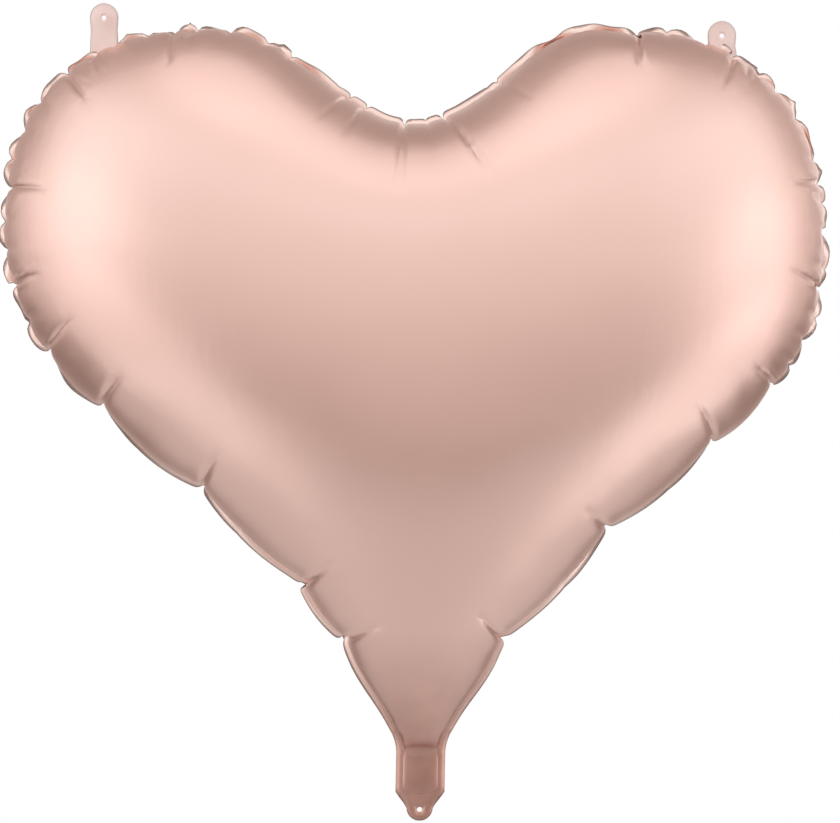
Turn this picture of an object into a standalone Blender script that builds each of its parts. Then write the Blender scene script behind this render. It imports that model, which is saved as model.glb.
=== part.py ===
"""Heart-shaped foil balloon, inflated, as separate films that meet at their welds and fold lines.

The heart stands in the XZ plane with its front towards -Y. The origin is on the fold line between the
heart's tip and its tail, where a ribbon is tied. Two domed panels hold the gas. The tail is the filling
neck, with a flat check valve of two films that reaches up into the heart, and it ends in a fused lobe with
a ribbon hole. Two punched tabs stand on the lobes, to hang the balloon by.
"""

import math

import bmesh
import bpy
import numpy as np
from mathutils import Vector
from mathutils.geometry import delaunay_2d_cdt

MM = 0.001

# Films and welds. The films are thicker than real foil, so that they stay solid.
FILM = 0.45 * MM
VALVE_FILM = 0.3 * MM
GAP = 0.3 * MM  # between any two films that lie face to face
WELD_WIDTH = 6.5 * MM  # the flat band outside the gas space
TAB_CLEARANCE = 0.7 * MM  # from the heart's edge to a hanging tab
NECK_CLEARANCE = 1.4 * MM  # from the tail's fold line to the films on either side

# Half of the heart's outline: its corners and the reach of each curve's handles.
CLEFT_Z = 0.564
CLEFT_REACH = 0.055
LOBE_TOP = (0.184, 0.649)
LOBE_INNER_REACH = 0.082
LOBE_OUTER_REACH = 0.178
SIDE = (0.375, 0.462)
SIDE_UPPER_REACH = 0.050
SIDE_LOWER_REACH = 0.202
TIP_REACH = 0.256
TIP_SLOPE = 0.50  # sideways run of the flank for each unit of height, at the tip
TIP_HALF_WIDTH = 24.5 * MM
OUTLINE_STEP = 22 * MM

# The inflated form.
DOME_FULLNESS = 0.82  # 1 would make a long tube's section a true circle
INSETS = (2 * MM, 8 * MM, 20 * MM, 38 * MM)  # loops of points inside the weld
INNER_STEP = 36 * MM
TIP_ROWS = (NECK_CLEARANCE, 5 * MM, 10 * MM, 16 * MM)  # heights of the panel's points at its tip
PINCH_HEIGHT = 26 * MM  # over this height the gas space narrows to the tail's passage

# The tail, its fused end and its valve.
TAIL_HALF_WIDTH = 22.3 * MM
TAIL_FLARE_Z = -9 * MM
TAIL_SHOULDER_Z = -48 * MM
TAIL_BULGE = 1.4 * MM
PASSAGE_HALF_WIDTH = 16.5 * MM
VALVE_HALF_WIDTH = 14.5 * MM
VALVE_TOP_Z = 100 * MM
VALVE_BOTTOM_Z = -44 * MM
VALVE_HINGE_Z = 3 * MM
VALVE_GROOVE = 1 * MM  # above the flaps' hinge line
EYELET_Z = -61.3 * MM
EYELET_RADIUS = 12 * MM
EYELET_HOLE_Z = -63 * MM
EYELET_HOLE_RADIUS = 2.3 * MM
EYELET_ROOT = (14.5 * MM, -57.5 * MM)  # where the tail's taper meets the fused lobe
ARC_STEPS = 14

# The hanging tabs.
TAB_HEADS = {"left": (-0.280, 0.656), "right": (0.281, 0.640)}
TAB_RADIUS = 13 * MM
TAB_HOLE_RADIUS = 1.9 * MM

ROSE_GOLD = (0.72, 0.47, 0.38)
PALE_ROSE = (0.86, 0.68, 0.61)
CLEAR_FILM = (0.82, 0.84, 0.85)


def clear_scene():
    for obj in list(bpy.data.objects):
        bpy.data.objects.remove(obj)


def film_material(name, color, roughness, metallic):
    material = bpy.data.materials.new(name)
    material.use_nodes = True
    shader = material.node_tree.nodes["Principled BSDF"]
    shader.inputs["Base Color"].default_value = (*color, 1)
    shader.inputs["Roughness"].default_value = roughness
    shader.inputs["Metallic"].default_value = metallic
    return material


# ---------------------------------------------------------------- flat shapes

def bezier(start, handle_a, handle_b, end, steps=160):
    t = np.linspace(0, 1, steps)[:, None]
    a, b, c, d = (np.array(point, float) for point in (start, handle_a, handle_b, end))
    return (1 - t) ** 3 * a + 3 * (1 - t) ** 2 * t * b + 3 * (1 - t) * t**2 * c + t**3 * d


def half_outline():
    """The weld's outer edge from the cleft over the right lobe to the tip, finely stepped."""
    cleft, tip = (0, CLEFT_Z), (TIP_HALF_WIDTH, NECK_CLEARANCE)
    top_x, top_z = LOBE_TOP
    side_x, side_z = SIDE
    inner = bezier(cleft, (CLEFT_REACH, CLEFT_Z), (top_x - LOBE_INNER_REACH, top_z), LOBE_TOP)
    outer = bezier(LOBE_TOP, (top_x + LOBE_OUTER_REACH, top_z), (side_x, side_z + SIDE_UPPER_REACH), SIDE)
    tip_handle = (tip[0] + TIP_SLOPE * TIP_REACH, tip[1] + TIP_REACH)
    flank = bezier(SIDE, (side_x, side_z - SIDE_LOWER_REACH), tip_handle, tip)
    return np.vstack([inner, outer[1:], flank[1:]])


def resampled(line, step):
    along = np.concatenate([[0], np.cumsum(np.linalg.norm(np.diff(line, axis=0), axis=1))])
    at = np.linspace(0, along[-1], round(along[-1] / step) + 1)
    return np.stack([np.interp(at, along, line[:, k]) for k in range(2)], axis=1)


def inset(line, distance):
    """The half outline moved inwards. Its ends stay on the mirror line and on the tip's cut."""
    run = np.gradient(line, axis=0)
    run /= np.linalg.norm(run, axis=1)[:, None]
    moved = line + distance * np.stack([run[:, 1], -run[:, 0]], axis=1)
    moved[0] = (0, line[0, 1] - distance)
    moved[-1, 1] = line[-1, 1]
    return moved


def whole_loop(half):
    """A half line and its mirror image as one closed loop, clockwise from the cleft."""
    mirrored = half[::-1] * (-1, 1)
    return np.vstack([half, mirrored[:-1]])


def arc(centre, radius, start, end, steps):
    turns = np.linspace(start, end, steps + 1)
    return [(centre[0] + radius * math.cos(a), centre[1] + radius * math.sin(a)) for a in turns]


def is_inside(points, loop):
    """True for the points within a closed loop, by counting the edges to their right."""
    x, z = points[:, 0], points[:, 1]
    within = np.zeros(len(points), bool)
    for (x0, z0), (x1, z1) in zip(loop, np.roll(loop, -1, axis=0)):
        if z0 != z1:
            crosses = (z0 > z) != (z1 > z)
            within ^= crosses & (x < (x1 - x0) * (z - z0) / (z1 - z0) + x0)
    return within


def triangulated(loops, inner_points):
    """A flat sheet inside the first loop, with edges along every loop: its points, its triangles, and for
    each point the number of the loop that it is on (or None)."""
    given, edges, owner = [], [], []
    for number, loop in enumerate(loops):
        first, count = len(given), len(loop)
        given += [Vector(point) for point in loop]
        owner += [number] * count
        edges += [(first + i, first + (i + 1) % count) for i in range(count)]
    given += [Vector(point) for point in inner_points]
    owner += [None] * len(inner_points)
    points, _, faces, sources, _, _ = delaunay_2d_cdt(given, edges, [], 1, 1e-7)
    loop_of = [min((owner[i] for i in source if owner[i] is not None), default=None) for source in sources]
    return np.array([tuple(point) for point in points]), faces, loop_of


# ---------------------------------------------------------------- heights

def smoothstep(t):
    t = min(1, max(0, t))
    return t * t * (3 - 2 * t)


def membrane_heights(points, faces, is_free):
    """A pressurised film's height over each point: the sag solves the membrane equation on the sheet's own
    triangles, and its square root gives the round-edged form of a film that doesn't stretch."""
    stiffness = np.zeros((len(points), len(points)))
    load = np.zeros(len(points))
    for face in faces:
        corners = points[face]
        opposite = np.roll(corners, -1, axis=0) - np.roll(corners, 1, axis=0)
        area = abs(opposite[0, 0] * opposite[1, 1] - opposite[0, 1] * opposite[1, 0]) / 2
        stiffness[np.ix_(face, face)] += opposite @ opposite.T / (4 * area)
        load[face] += area / 3
    free = np.flatnonzero(is_free)
    sag = np.zeros(len(points))
    sag[free] = np.linalg.solve(stiffness[np.ix_(free, free)], load[free])
    return DOME_FULLNESS * np.sqrt(2 * sag)


def passage_height(x):
    """Room for a valve film beside the mid plane, between the tail's side welds."""
    room = GAP + VALVE_FILM
    ramp = (PASSAGE_HALF_WIDTH - abs(x)) / (PASSAGE_HALF_WIDTH - VALVE_HALF_WIDTH - GAP)
    return room * min(1, max(0, ramp))


def passage_columns():
    wide, valve = PASSAGE_HALF_WIDTH, VALVE_HALF_WIDTH + GAP
    return (-wide, -valve, -valve / 2, 0, valve / 2, valve, wide)


# ---------------------------------------------------------------- solids

def film_object(name, points, faces, heights, side, thickness, material, origin=(0, 0, 0)):
    """A film from a flat sheet. Its inner face is at the given heights on one side of the mid plane (-1 for
    the front, 1 for the back) and its thickness is outside that."""
    shape = bmesh.new()
    origin = Vector(origin)
    verts = [shape.verts.new(Vector((x, side * y, z)) - origin) for (x, z), y in zip(points, heights)]
    for face in faces:
        ring = [verts[i] for i in face]
        shape.faces.new(ring if side < 0 else ring[::-1])
    loose = [vert for vert in shape.verts if not vert.link_faces]
    bmesh.ops.delete(shape, geom=loose, context="VERTS")
    mesh = bpy.data.meshes.new(name)
    shape.to_mesh(mesh)
    shape.free()
    mesh.materials.append(material)
    mesh.shade_smooth()
    obj = bpy.data.objects.new(name, mesh)
    obj.location = origin
    bpy.context.scene.collection.objects.link(obj)
    shell = obj.modifiers.new("film", "SOLIDIFY")
    shell.thickness = thickness
    shell.offset = 1
    shell.use_even_offset = True
    return obj


def without_hole(points, faces, centre, radius):
    return [face for face in faces if np.linalg.norm(points[face].mean(axis=0) - centre) > radius]


def make_panels(material):
    """The heart's front and back: a flat weld band around a dome."""
    edge = resampled(half_outline(), OUTLINE_STEP)
    weld = inset(edge, WELD_WIDTH)
    inner_halves = [inner_half(weld, distance) for distance in INSETS]
    core = whole_loop(np.vstack([inner_halves[-1], (0, inner_halves[-1][-1, 1])]))
    inner = [point for half in inner_halves for point in whole_loop(half)]
    inner += lattice_points(core) + tip_points(weld)
    points, faces, loop_of = triangulated([whole_loop(edge), whole_loop(weld)], inner)
    domes = membrane_heights(points, faces, [loop is None for loop in loop_of])
    heights = [GAP / 2 + panel_height(*point, dome) for point, dome in zip(points, domes)]
    for name, side in (("front_panel", -1), ("back_panel", 1)):
        film_object(name, points, faces, heights, side, FILM, material)


def inner_half(weld, distance):
    """Half a loop inside the weld line, cut off where the tip gets too narrow for it."""
    moved = inset(weld, distance)
    wide = (moved[:, 0] > distance) | (moved[:, 1] > CLEFT_Z / 2)
    above_tip = moved[:, 1] > NECK_CLEARANCE + distance
    return moved[wide & above_tip]


def lattice_points(loop):
    """A triangular lattice of points inside a loop, clear of its edge."""
    low, high = loop.min(axis=0), loop.max(axis=0)
    row_step = INNER_STEP * math.sqrt(3) / 2
    reach = int(high[0] / INNER_STEP)
    lattice = np.array([
        ((column + row % 2 / 2) * INNER_STEP, low[1] + (row + 0.5) * row_step)
        for row in range(int((high[1] - low[1]) / row_step))
        for column in range(-reach, reach + 1)
    ])
    lattice = lattice[is_inside(lattice, loop)]
    return [point for point in lattice if np.linalg.norm(loop - point, axis=1).min() > INNER_STEP / 2]


def tip_points(weld):
    """Points where the panel narrows to the tail's passage, so that the valve has room."""
    return [(x, z) for z in TIP_ROWS for x in passage_columns() if is_clear(weld, x, z)]


def is_clear(weld, x, z):
    """Whether a point stands clear of the weld line down the flank."""
    flank = weld[weld[:, 1] < SIDE[1]][::-1]
    return abs(x) < np.interp(z, flank[:, 1], flank[:, 0]) - MM


def panel_height(x, z, dome):
    opened = smoothstep((z - NECK_CLEARANCE) / PINCH_HEIGHT)
    room = passage_height(x) if z < VALVE_TOP_Z else 0
    return max(dome * opened, room)


def make_tail(material):
    """The filling neck below the heart: two films, welded at their sides and fused at the end."""
    top, shoulder = -NECK_CLEARANCE, TAIL_SHOULDER_Z
    side = [(TIP_HALF_WIDTH, top), (TAIL_HALF_WIDTH, TAIL_FLARE_Z), (TAIL_HALF_WIDTH, shoulder), EYELET_ROOT]
    end = arc((0, EYELET_Z), EYELET_RADIUS, 0, -math.pi, ARC_STEPS)
    outline = side + end + [(-x, z) for x, z in reversed(side)]
    hole_centre = (0, EYELET_HOLE_Z)
    hole = arc(hole_centre, EYELET_HOLE_RADIUS, 0, 2 * math.pi, ARC_STEPS)[:-1]
    rows = [top, *np.linspace(top, shoulder, 7)[1:], shoulder - 4 * MM]
    inner = [(x, z) for z in rows for x in passage_columns()]
    points, faces, _ = triangulated([outline, hole], inner)
    faces = without_hole(points, faces, hole_centre, EYELET_HOLE_RADIUS)
    heights = [GAP / 2 + tail_height(*point) for point in points]
    for name, facing in (("tail_front_film", -1), ("tail_back_film", 1)):
        film_object(name, points, faces, heights, facing, FILM, material)


def tail_height(x, z):
    """Room for the valve down to the shoulders, and a slight bulge between the two ends."""
    down = (-NECK_CLEARANCE - z) / (-NECK_CLEARANCE - TAIL_SHOULDER_Z)
    if down > 1 + 1e-6:
        return 0
    across = max(0, 1 - (x / PASSAGE_HALF_WIDTH) ** 2)
    return passage_height(x) + TAIL_BULGE * across * math.sin(math.pi * min(1, max(0, down)))


def make_valve(material):
    """The check valve: two thin strips, each an inlet inside the tail and a free flap inside the heart."""
    parts = (
        ("valve_inlet", VALVE_BOTTOM_Z, -NECK_CLEARANCE, 0),
        ("valve_flap", VALVE_HINGE_Z + VALVE_GROOVE, VALVE_TOP_Z, VALVE_HINGE_Z),
    )
    for part, low, high, hinge_z in parts:
        side = [(VALVE_HALF_WIDTH, z) for z in np.linspace(low, high, 6)]
        outline = side + [(-x, z) for x, z in reversed(side)]
        points, faces, _ = triangulated([outline], [])
        flat = [GAP / 2] * len(points)
        for face_name, facing in (("front", -1), ("back", 1)):
            name = f"{part}_{face_name}"
            film_object(name, points, faces, flat, facing, VALVE_FILM, material, (0, 0, hinge_z))


def fold_line(x):
    """The height of the heart's edge at a place on an outer lobe, and the edge's angle there."""
    line = half_outline()
    lobe = line[(line[:, 0] > LOBE_TOP[0]) & (line[:, 1] > SIDE[1])]
    low, high = (np.interp(abs(x) + step, lobe[:, 0], lobe[:, 1]) for step in (-MM, MM))
    angle = math.atan2(high - low, 2 * MM)
    return (low + high) / 2, angle if x > 0 else -angle


def make_hanging_tabs(material):
    """An upright tongue of two fused films on each lobe, which folds along the heart's edge."""
    for side, head in TAB_HEADS.items():
        edge_z, angle = fold_line(head[0])
        along = np.array((math.cos(angle), math.sin(angle)))
        across = np.array((-along[1], along[0]))
        middle = np.array((head[0], edge_z)) + across * TAB_CLEARANCE
        top = arc(head, TAB_RADIUS, 0, math.pi, ARC_STEPS)
        reach = TAB_RADIUS / along[0]
        root = [tuple(middle - along * reach), tuple(middle + along * reach)]
        hole = arc(head, TAB_HOLE_RADIUS, 0, 2 * math.pi, ARC_STEPS)[:-1]
        points, faces, _ = triangulated([top + root, hole], [])
        faces = without_hole(points, faces, head, TAB_HOLE_RADIUS)
        heights = [-FILM] * len(points)
        name = f"{side}_hanging_tab"
        film_object(name, points, faces, heights, -1, 2 * FILM, material, (head[0], 0, edge_z))


def main():
    clear_scene()
    foil = film_material("rose_gold_foil", ROSE_GOLD, 0.36, 1.0)
    tab_foil = film_material("pale_tab_foil", PALE_ROSE, 0.4, 0.3)
    clear = film_material("clear_valve_film", CLEAR_FILM, 0.3, 0.0)
    make_panels(foil)
    make_tail(foil)
    make_valve(clear)
    make_hanging_tabs(tab_foil)


main()
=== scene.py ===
"""The looks of the heart-shaped foil balloon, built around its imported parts.

The foil is two films that are welded round a heart-shaped edge. A membrane solved under the gas pressure
gives them their dome. The film's spare length along the weld then puckers it, by relaxing the film under
pressure. The sharp creases at the seam and the tilt of the welded flange are laid in last.
"""

import math

import bpy
import numpy as np
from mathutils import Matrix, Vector
from mathutils.geometry import delaunay_2d_cdt

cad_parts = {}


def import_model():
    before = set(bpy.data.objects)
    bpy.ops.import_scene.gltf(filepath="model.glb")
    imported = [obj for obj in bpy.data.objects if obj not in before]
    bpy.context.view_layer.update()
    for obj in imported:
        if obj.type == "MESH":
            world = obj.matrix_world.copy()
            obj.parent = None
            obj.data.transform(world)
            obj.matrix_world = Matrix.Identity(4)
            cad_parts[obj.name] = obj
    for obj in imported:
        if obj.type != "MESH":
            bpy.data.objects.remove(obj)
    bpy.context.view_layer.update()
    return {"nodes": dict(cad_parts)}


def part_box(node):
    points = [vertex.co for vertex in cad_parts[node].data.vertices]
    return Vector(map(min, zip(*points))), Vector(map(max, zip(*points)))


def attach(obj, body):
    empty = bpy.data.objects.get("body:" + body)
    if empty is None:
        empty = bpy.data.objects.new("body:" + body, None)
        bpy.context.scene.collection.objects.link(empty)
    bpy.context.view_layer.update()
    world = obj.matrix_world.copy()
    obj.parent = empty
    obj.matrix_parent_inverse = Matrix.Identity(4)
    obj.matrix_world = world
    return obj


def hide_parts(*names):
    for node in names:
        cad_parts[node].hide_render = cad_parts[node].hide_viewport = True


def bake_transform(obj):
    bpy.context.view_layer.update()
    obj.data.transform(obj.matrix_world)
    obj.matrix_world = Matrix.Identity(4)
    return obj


MM = 0.001

# The inflated heart's outline, as in the CAD parts: its corners and its curves' handles.
CLEFT_Z = 0.564
CLEFT_REACH = 0.055
LOBE_TOP = (0.184, 0.649)
LOBE_REACHES = (0.082, 0.178)
SIDE = (0.375, 0.462)
SIDE_REACHES = (0.050, 0.202)
TIP_HALF_WIDTH = 24.5 * MM
TIP_REACH = 0.256
TIP_SLOPE = 0.50
WELD_WIDTH = 6.5 * MM

# The tail, which ends in a fused lobe with a hole.
TAIL_HALF_WIDTH = 22.3 * MM
TAIL_FLARE_Z = -9 * MM
TAIL_SHOULDER_Z = -47 * MM
TAPER_Z = -52 * MM
LOBE_ROOT = (14.5 * MM, -57.5 * MM)
LOBE_Z = -61.3 * MM
LOBE_RADIUS = 12 * MM
HOLE_Z = -63 * MM
HOLE_RADIUS = 2.3 * MM
TAIL_BULGE = 1.8 * MM
PASSAGE_END = ((11.5 * MM, 0), (7.5 * MM, -1 * MM), (0, -1.5 * MM))  # from the shoulder's height
PAINTED_SHADE_TOP = 110 * MM  # painted shade: the film is painted darker from here down
PAINTED_SHADE_REACH = 125 * MM
FILM = 0.15 * MM

# The hanging tabs.
TAB_HEADS = {"left": (-0.280, 0.656), "right": (0.281, 0.640)}
TAB_RADIUS = 13 * MM
TAB_HOLE_RADIUS = 1.9 * MM
TAB_FOOT = 14 * MM
TAB_SINK = 9 * MM
TAB_CURL = 3 * MM
TAB_CURL_REACH = 30 * MM
TAB_STEP = 2 * MM

# How far the real one leans to the right, by height.
SWAY = ((-0.07, 4 * MM), (0.08, 7 * MM), (0.15, 13 * MM), (0.28, 12 * MM), (0.44, 0), (0.6, -2.3 * MM))

# Colours.
FOIL_COLOR = (0.865, 0.585, 0.505)
FOIL_WARM = (0.90, 0.61, 0.53)
FOIL_PALE = (0.90, 0.66, 0.585)
FOIL_EDGE = (0.30, 0.20, 0.17)
# Painted shade for the heart's lower part and the tail, in two tones mixed by noise.
PAINTED_SHADE_DARK = (0.45, 0.245, 0.195)
PAINTED_SHADE_LIGHT = (0.57, 0.33, 0.275)
TAB_COLOR = (0.91, 0.70, 0.655)
TAB_WARM = (0.95, 0.77, 0.72)
TAB_EDGE = (0.52, 0.39, 0.35)
VALVE_COLOR = (0.82, 0.84, 0.85)
VALVE_PALE = (0.9, 0.91, 0.92)
FLOOR_COLOR = (0.74, 0.74, 0.74)

# The studio's light level by a direction's Y, from -1 at the front to 1 at the back, and by its Z. The two
# are multiplied.
DEPTH_LIGHT = (
    (-1.0, 0.92),
    (-0.9, 0.92),
    (-0.7, 1.08),
    (-0.4, 1.18),
    (-0.15, 1.18),
    (0.1, 0.90),
    (0.3, 0.68),
    (0.5, 0.52),
    (0.7, 0.42),
    (0.85, 0.5),
    (0.95, 0.9),
    (1.0, 0.9),
)
HEIGHT_LIGHT = (
    (-1.0, 0.24),
    (-0.85, 0.28),
    (-0.5, 0.42),
    (-0.2, 0.70),
    (0.2, 1.0),
    (0.65, 1.06),
    (0.85, 0.86),
    (0.95, 0.58),
    (1.0, 0.52),
)
GREEN_TINT = 0.24
BLUE_TINT = 0.34
SOFTBOX_COLOR = (0.93, 1.0, 1.04)
SOFTBOXES = (  # name, place, diameter and watts
    ("right_softbox", (2.1, -0.8, 0.3), 1.7, 2.6),
    ("left_softbox", (-2.0, -1.1, 0.7), 1.5, 1.8),
    ("low_right_softbox", (1.28, -0.2, -0.31), 1.1, 1.9),
    ("low_left_softbox", (-1.28, -0.5, -0.22), 1.2, 1.7),
    ("left_side_softbox", (-2.1, 0.5, 0.4), 1.5, 1.5),
    ("right_side_softbox", (2.1, 0.5, 0.4), 1.5, 1.5),
    ("overhead_softbox", (0, -0.35, 2.6), 1.9, 5),
    ("back_softbox", (1.2, 2.0, 1.0), 1.7, 4),
)
MIDDLE = (0, 0, 0.35)
FLOOR_Z = -0.85
FLOOR_RADIUS = 2.0
CAMERA_PLACE = (0.0045, -2.12, 0.2985)

# The inflated form.
DOME_HEIGHT = 158 * MM
TAIL_LOAD = 0.016  # of the pressure in the heart
LOAD_FADE = (-4 * MM, 16 * MM)
RIM_DEPTHS = ((-48 * MM, 5 * MM), (-36 * MM, 9 * MM), (0, 13 * MM), (40 * MM, 24 * MM), (140 * MM, 40 * MM))
CLEFT_DEPTH = 26 * MM
CLEFT_HALF_WIDTH = 105 * MM
CLEFT_ABOVE = 0.45
LOBES_FROM = 0.30
LOBES_REACH = 0.10

# The meshes of the films: step along the weld, step in the core and number of rings.
FULL_MESH = (4.5 * MM, 7.5 * MM, 22)
FINER = 2.6  # times as many points round a crease
CREASE_REACH = 11 * MM
CLEFT_FINE_REACH = 95 * MM

# The film's creases. Each side's cusps are given by height on the flank and by distance from the middle on
# the lobe, and the cleft's folds by where they start, their length, their lean and their depth.
FLANK_CUSPS = {
    1: (0.505, 0.411, 0.322, 0.2685, 0.190, 0.093),
    -1: (0.500, 0.413, 0.352, 0.302, 0.2275, 0.142, 0.092),
}
LOBE_CUSPS = {1: (0.204, 0.290), -1: (0.214, 0.312)}
CLEFT_FOLDS = (
    (-0.008, 70 * MM, -0.07, 8.5 * MM),
    (0.028, 80 * MM, 0.56, 8.5 * MM),
    (-0.059, 38 * MM, -0.65, 5 * MM),
    (-0.044, 40 * MM, -0.42, 5 * MM),
    (0.013, 44 * MM, 0.12, 2.5 * MM),
    (0.078, 34 * MM, 0.72, 3.5 * MM),
)
CLEFT_FOLD_WIDTH = 2 * MM
FLANK_FOLD = (42 * MM, 7 * MM, 2.4 * MM)  # length, depth and width
PUCKER_FOLD = (18 * MM, 3 * MM, 2.4 * MM)
PUCKER_SPACING = 27 * MM
PUCKERS_ABOVE = 0.34
PUCKERS_BEYOND = 90 * MM  # from the middle
CLEFT_PUCKERS = (-0.07, 0.0, 0.07)

# Between the creases the seam swells out in scallops and waves to and fro.
SCALLOP = 0.075  # of the spacing
SCALLOP_MOST = 8.5 * MM
SEAM_WAVE = 2.5 * MM
SEAM_WAVE_REACH = 9 * MM
FLANGE_TURN = 1.25

# The film's excess along the weld, which puckers it further, and the relaxation.
EXCESS = 0.03
LOBE_EXCESS = 0.07
EXCESS_REACH = 30 * MM
NOISE = 0.12 * MM
FLANGE_STIFFNESS = 2
PRESSURE = 0.05
SEAM_GUIDE = 0.002
BEND = 6e-3
RELAX_STEPS = 320
TIME_STEP = 0.45
DRAG = 0.985
STILL_BELOW = -12 * MM
MEMBRANE_ROUNDS = 3000


# ---------------------------------------------------------------- outlines

def bezier(start, handle_a, handle_b, end, steps=300):
    t = np.linspace(0, 1, steps)[:, None]
    a, b, c, d = (np.array(point, float) for point in (start, handle_a, handle_b, end))
    return (1 - t) ** 3 * a + 3 * (1 - t) ** 2 * t * b + 3 * (1 - t) * t**2 * c + t**3 * d


def half_edge():
    """The film's cut edge on the right, from the cleft over the lobe and down to the tail's shoulder."""
    x, z = LOBE_TOP
    inner = bezier((0, CLEFT_Z), (CLEFT_REACH, CLEFT_Z), (x - LOBE_REACHES[0], z), LOBE_TOP)
    outer = bezier(LOBE_TOP, (x + LOBE_REACHES[1], z), (SIDE[0], SIDE[1] + SIDE_REACHES[0]), SIDE)
    tip_handle = (TIP_HALF_WIDTH + TIP_SLOPE * TIP_REACH, TIP_REACH)
    flank = bezier(SIDE, (SIDE[0], SIDE[1] - SIDE_REACHES[1]), tip_handle, (TIP_HALF_WIDTH, 0))
    tail = [(TAIL_HALF_WIDTH, TAIL_FLARE_Z), (TAIL_HALF_WIDTH, TAIL_SHOULDER_Z)]
    return np.vstack([inner, outer[1:], flank[1:], tail])


def lengths_along(line):
    return np.concatenate([[0], np.cumsum(np.linalg.norm(np.diff(line, axis=0), axis=1))])


def resampled(line, step):
    along = lengths_along(line)
    at = np.linspace(0, along[-1], round(along[-1] / step) + 1)
    return np.stack([np.interp(at, along, line[:, k]) for k in range(2)], axis=1)


def graded(line, step):
    """The half outline resampled, finer round the cusps and the cleft, where the film creases."""
    along = lengths_along(line)
    places = [along[i] for side in (1, -1) for i in cusp_points(line, side)]
    fine = sum(np.exp(-(((along - place) / CREASE_REACH) ** 2)) for place in places)
    fine = np.clip(fine + 0.9 * np.exp(-((along / CLEFT_FINE_REACH) ** 4)), 0, 1)
    density = (1 + (FINER - 1) * fine) / step
    stations = np.concatenate([[0], np.cumsum((density[1:] + density[:-1]) / 2 * np.diff(along))])
    at = np.interp(np.linspace(0, stations[-1], round(stations[-1]) + 1), stations, along)
    return np.stack([np.interp(at, along, line[:, k]) for k in range(2)], axis=1)


def cusp_points(half, side):
    """The points of the right half outline where the film is creased on one side of the heart."""
    x, z = half.T
    flank = np.flatnonzero((z < SIDE[1] + 90 * MM) & (x > 100 * MM) | (z < 0.4))
    lobe = np.flatnonzero((z > SIDE[1] + 60 * MM) & (x > 60 * MM))
    low = [flank[np.argmin(np.abs(z[flank] - height))] for height in FLANK_CUSPS[side]]
    high = [lobe[np.argmin(np.abs(x[lobe] - place))] for place in LOBE_CUSPS[side]]
    return low + high


def inset(line, distance):
    """The half outline moved inwards. Its first point stays on the mirror line."""
    run = np.gradient(line, axis=0)
    run /= np.linalg.norm(run, axis=1)[:, None]
    moved = line + distance * np.stack([run[:, 1], -run[:, 0]], axis=1)
    moved[0] = (0, line[0, 1] - distance)
    return moved


def circle(middle, radius, count):
    turn = np.linspace(0, 2 * np.pi, count + 1)[:-1]
    return np.stack([np.cos(turn), np.sin(turn)], axis=1) * radius + middle


def is_inside(points, loop):
    x, z = points[:, 0], points[:, 1]
    within = np.zeros(len(points), bool)
    for (x0, z0), (x1, z1) in zip(loop, np.roll(loop, -1, axis=0)):
        if z0 != z1:
            crosses = (z0 > z) != (z1 > z)
            within ^= crosses & (x < (x1 - x0) * (z - z0) / (z1 - z0) + x0)
    return within


def cross2(a, b):
    return a[..., 0] * b[..., 1] - a[..., 1] * b[..., 0]


def ramp_up(value, start, reach):
    return np.clip((value - start) / reach, 0, 1)


# ---------------------------------------------------------------- the two films

def loop_normals(loop):
    """Inward unit normals of a clockwise loop."""
    run = np.roll(loop, -1, axis=0) - np.roll(loop, 1, axis=0)
    run /= np.linalg.norm(run, axis=1)[:, None]
    return np.stack([run[:, 1], -run[:, 0]], axis=1)


def near_cleft(points):
    return np.exp(-((points[:, 0] / CLEFT_HALF_WIDTH) ** 4)) * (points[:, 1] > CLEFT_ABOVE)


def on_lobes(points):
    return ramp_up(points[:, 1], LOBES_FROM, LOBES_REACH)


def rim_depth(loop):
    """How far in from the weld the rim's rings reach: less where the heart is narrow."""
    return np.interp(loop[:, 1], *zip(*RIM_DEPTHS)) + CLEFT_DEPTH * near_cleft(loop)


def lattice(loop, step):
    """Points in rows inside a loop, clear of it, as the corners of even triangles."""
    low, high = loop.min(axis=0), loop.max(axis=0)
    row_step = step * math.sqrt(3) / 2
    rows = np.arange(int((high[1] - low[1]) / row_step) + 1)
    columns = np.arange(int(low[0] / step) - 1, int(high[0] / step) + 2)
    row, column = np.meshgrid(rows, columns, indexing="ij")
    points = np.stack([(column + row % 2 / 2) * step, low[1] + (row + 0.35) * row_step], axis=-1)
    points = points.reshape(-1, 2)
    points = points[is_inside(points, loop)]
    return points[distance_to(loop, points) > 0.6 * step]


def distance_to(loop, points):
    """Each point's distance to the nearest point of a loop, some thousands at a time to save memory."""
    out = np.empty(len(points))
    for first in range(0, len(points), 4000):
        gaps = points[first : first + 4000, None, :] - loop[None, :, :]
        out[first : first + 4000] = np.sqrt((gaps**2).sum(axis=2).min(axis=1))
    return out


def triangulated(loops, inner):
    """A constrained Delaunay mesh of closed loops and loose points, wound the same way throughout."""
    given = [Vector(point) for line in (*loops, inner) for point in line]
    edges = []
    first = 0
    for loop in loops:
        count = len(loop)
        edges += [(first + i, first + (i + 1) % count) for i in range(count)]
        first += count
    _, _, faces, sources, _, _ = delaunay_2d_cdt(given, edges, [], 1, 1e-9)
    source = np.array([min(s) for s in sources])
    faces = source[np.array(faces)]
    flat = np.array([tuple(point) for point in given])
    return flat, wound(flat, faces)


def wound(flat, faces):
    """The faces, with all of them turned the same way."""
    a, b, c = (flat[faces[:, k]] for k in range(3))
    turned = cross2(b - a, c - a) < 0
    faces[turned] = faces[turned][:, ::-1]
    return faces


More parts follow.
